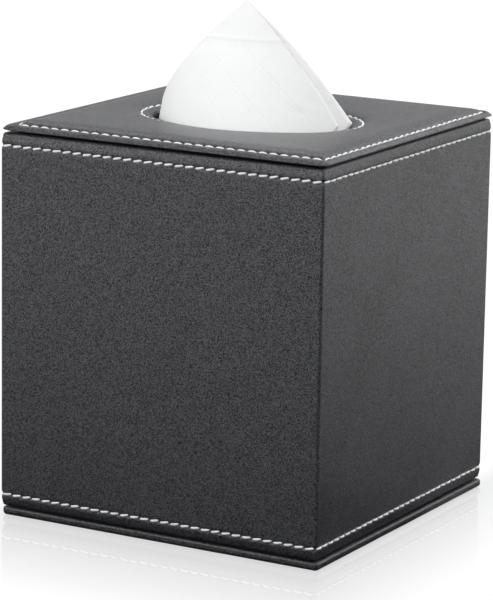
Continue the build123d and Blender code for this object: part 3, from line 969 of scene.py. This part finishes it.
def make_floor(context):
    """A pale floor with a faint mirror image, white to the camera away from the cover, and glowing with
    painted light to other rays.
    """
    studio = context.scene.cover_studio
    lit_run, fade_run, image_run = 0.55, 0.06, 0.1
    full_light, side_light, close_start, close_end = 1.45, 0.06, 0.2, 0.11
    bpy.ops.object.select_all(action="DESELECT")
    bpy.ops.mesh.primitive_plane_add(size=12.0, location=(0, 0, -0.02 * mm))
    floor = bpy.context.object
    floor.name = "floor"
    bpy.ops.object.transform_apply(location=True)
    material = bpy.data.materials.new("pale_floor")
    material.use_nodes = True
    tree = material.node_tree
    tree.nodes.clear()
    place = add_node(tree, "ShaderNodeTexCoord").outputs["Object"]
    x, y = add_node(tree, "ShaderNodeSeparateXYZ", {"Vector": place}).outputs[:2]
    reach = calculate(tree, "MAXIMUM", calculate(tree, "ABSOLUTE", x), calculate(tree, "ABSOLUTE", y))
    # painted light: to rays other than the camera's the floor glows, weaker close to the cover as painted
    # shade
    bounce = ranged(tree, reach, wall_half, wall_half + lit_run, 0.0, full_light)
    way = add_node(tree, "ShaderNodeVectorMath", {0: place}, operation="NORMALIZE").outputs[0]
    lit = calculate(tree, "MULTIPLY", bounce, side_light)
    # painted light: brighter glow on the floor on the sides towards the two side soft boxes
    for turn, share, base in ((-studio.azimuth, 0.8, 0.0), (math.pi - studio.azimuth, 0.52, 0.17)):
        glow = calculate(tree, "ADD", calculate(tree, "MULTIPLY", bounce, share), base)
        side = facing_share(tree, way, turn, 0.6, 0.9)
        lit = calculate(tree, "MAXIMUM", lit, calculate(tree, "MULTIPLY", side, glow))

    runs = []
    for part, sign, share in ((x, 1, math.sin(studio.azimuth)), (y, -1, -math.cos(studio.azimuth))):
        past_wall = calculate(tree, "SUBTRACT", calculate(tree, "MULTIPLY", part, sign), wall_half)
        runs.append(calculate(tree, "DIVIDE", past_wall, sign * share))
    run = calculate(tree, "MAXIMUM", *runs)
    away = add_node(tree, "ShaderNodeVectorMath", {0: place}, operation="LENGTH").outputs["Value"]
    image = ranged(tree, run, 0.0, image_run, studio.floor_gloss, 0.0)
    seen_side = ranged(tree, run, -0.02, 0.0)
    close = ranged(tree, away, close_start, close_end, way="SMOOTHSTEP")
    image = calculate(tree, "MULTIPLY", image, calculate(tree, "MULTIPLY", seen_side, close))

    matt = shaded(tree, "ShaderNodeBsdfDiffuse", Color=tuple(studio.floor_colour))
    white = shaded(tree, "ShaderNodeEmission", Strength=1.05)
    mirror = shaded(tree, "ShaderNodeBsdfGlossy", Roughness=0.02)
    pale = mixed(tree, ranged(tree, reach, wall_half, wall_half + fade_run, 0.85, 1.0), matt, white)
    seen = mixed(tree, image, pale, mirror)
    camera_ray = add_node(tree, "ShaderNodeLightPath").outputs["Is Camera Ray"]
    both = mixed(tree, camera_ray, shaded(tree, "ShaderNodeEmission", Strength=lit), seen)
    add_node(tree, "ShaderNodeOutputMaterial", {"Surface": both})
    floor.data.materials.append(material)


def make_world(context):
    """A white studio with soft boxes that the walls and the lid mirror, plain white to the camera."""
    studio = context.scene.cover_studio
    world = bpy.data.worlds.new("studio")
    context.scene.world = world
    world.use_nodes = True
    tree = world.node_tree
    tree.nodes.clear()
    way = add_node(tree, "ShaderNodeTexCoord").outputs["Generated"]
    x, y, height = add_node(tree, "ShaderNodeSeparateXYZ", {"Vector": way}).outputs
    level = add_node(tree, "ShaderNodeCombineXYZ", {"X": x, "Y": y}).outputs[0]
    level = add_node(tree, "ShaderNodeVectorMath", {0: level}, operation="NORMALIZE").outputs[0]

    def past_height(start, end):
        return ranged(tree, height, start, end, way="SMOOTHSTEP")

    low = calculate(tree, "MULTIPLY", past_height(0.0, 0.12), past_height(0.7, 0.45))
    boxes = ((-studio.azimuth, studio.box_light, low),
             (math.pi - studio.azimuth, 0.6 * studio.box_light, low),
             (studio.azimuth + 0.9, studio.fill_light, past_height(0.35, 0.6)),
             (math.pi + studio.azimuth, studio.back_light, past_height(0.5, 0.8)))
    strength = studio.room_light
    for turn, light, band in boxes:
        side = facing_share(tree, level, turn, 0.72, 0.92, light)
        strength = calculate(tree, "ADD", calculate(tree, "MULTIPLY", side, band), strength)
    light = shaded(tree, "ShaderNodeBackground", Color=(0.985, 0.99, 1.0, 1), Strength=strength)
    white = shaded(tree, "ShaderNodeBackground", Strength=1.0)
    camera_ray = add_node(tree, "ShaderNodeLightPath").outputs["Is Camera Ray"]
    add_node(tree, "ShaderNodeOutputWorld", {"Surface": mixed(tree, camera_ray, light, white)})


def make_camera(context):
    """A long lens at the photograph's angle."""
    studio = context.scene.cover_studio
    azimuth, elevation = studio.azimuth, studio.elevation
    back = Vector((math.sin(azimuth) * math.cos(elevation), -math.cos(azimuth) * math.cos(elevation),
                   math.sin(elevation)))
    side = Vector((math.cos(azimuth), math.sin(azimuth), 0))
    up = back.cross(side)
    right = side * math.cos(studio.roll) + up * math.sin(studio.roll)
    up = up * math.cos(studio.roll) - side * math.sin(studio.roll)
    aim = side * studio.aim_side + Vector((0, 0, studio.aim_height))
    camera = bpy.data.objects.new("camera", bpy.data.cameras.new("camera"))
    context.scene.collection.objects.link(camera)
    camera.data.lens = studio.lens
    camera.data.sensor_width = 36.0
    camera.matrix_world = Matrix.Translation(aim + back * studio.distance) @ Matrix(
        (right, up, back)).transposed().to_4x4()
    context.scene.camera = camera
    context.scene.view_settings.view_transform = "Standard"


class COVER_OT_wall_skin(bpy.types.Operator):
    """Leather round the four walls"""
    bl_idname = "cover.wall_skin"
    bl_label = "Wall leather"

    def execute(self, context):
        make_wall_skin(context)
        return {"FINISHED"}


class COVER_OT_lid_skin(bpy.types.Operator):
    """Padded leather of the lid"""
    bl_idname = "cover.lid_skin"
    bl_label = "Lid leather"

    def execute(self, context):
        make_lid_skin(context)
        return {"FINISHED"}


class COVER_OT_base_flap(bpy.types.Operator):
    """Leather of the base flap and of its hinge"""
    bl_idname = "cover.base_flap"
    bl_label = "Base flap leather"

    def execute(self, context):
        make_base_skin(context)
        make_hinge(context)
        return {"FINISHED"}


class COVER_OT_thread(bpy.types.Operator):
    """Four rows of stitches"""
    bl_idname = "cover.thread"
    bl_label = "Thread"

    def execute(self, context):
        make_thread(context)
        return {"FINISHED"}


class COVER_OT_tissues(bpy.types.Operator):
    """The standing tissue and the pile below it"""
    bl_idname = "cover.tissues"
    bl_label = "Tissues"

    def execute(self, context):
        make_pile(context)
        make_tissue(context)
        return {"FINISHED"}


class COVER_OT_inner_parts(bpy.types.Operator):
    """Finishes of boards, foam, cloth, magnets and carton"""
    bl_idname = "cover.inner_parts"
    bl_label = "Inner parts"

    def execute(self, context):
        finish_inner_parts()
        return {"FINISHED"}


class COVER_OT_studio(bpy.types.Operator):
    """Floor, light and camera"""
    bl_idname = "cover.studio"
    bl_label = "Studio"

    def execute(self, context):
        make_floor(context)
        make_world(context)
        make_camera(context)
        return {"FINISHED"}


operators = (COVER_OT_wall_skin, COVER_OT_lid_skin, COVER_OT_base_flap, COVER_OT_thread, COVER_OT_tissues,
             COVER_OT_inner_parts, COVER_OT_studio)
settings = {
    "cover_leather": LeatherSettings,
    "cover_mouth": MouthSettings,
    "cover_stitch": StitchSettings,
    "cover_tissue": TissueSettings,
    "cover_studio": StudioSettings,
}


class COVER_PT_panel(bpy.types.Panel):
    """Steps and sizes of the cover"""
    bl_idname = "COVER_PT_panel"
    bl_label = "Tissue box cover"
    bl_space_type = "VIEW_3D"
    bl_region_type = "UI"
    bl_category = "Cover"

    def draw(self, context):
        for operator in operators:
            self.layout.operator(operator.bl_idname)
        for name, group in settings.items():
            box = self.layout.box()
            for size in group.__annotations__:
                box.prop(getattr(context.scene, name), size)


def register():
    for group in settings.values():
        bpy.utils.register_class(group)
    for name, group in settings.items():
        setattr(bpy.types.Scene, name, bpy.props.PointerProperty(type=group))
    for operator in operators:
        bpy.utils.register_class(operator)
    bpy.utils.register_class(COVER_PT_panel)


def unregister():
    bpy.utils.unregister_class(COVER_PT_panel)
    for operator in reversed(operators):
        bpy.utils.unregister_class(operator)
    for name in settings:
        delattr(bpy.types.Scene, name)
    for group in reversed(list(settings.values())):
        bpy.utils.unregister_class(group)


def main():
    """Make every piece in order."""
    register()
    bpy.ops.cover.wall_skin()
    bpy.ops.cover.lid_skin()
    bpy.ops.cover.base_flap()
    bpy.ops.cover.thread()
    bpy.ops.cover.tissues()
    bpy.ops.cover.inner_parts()
    bpy.ops.cover.studio()


if __name__ == "__main__":
    main()
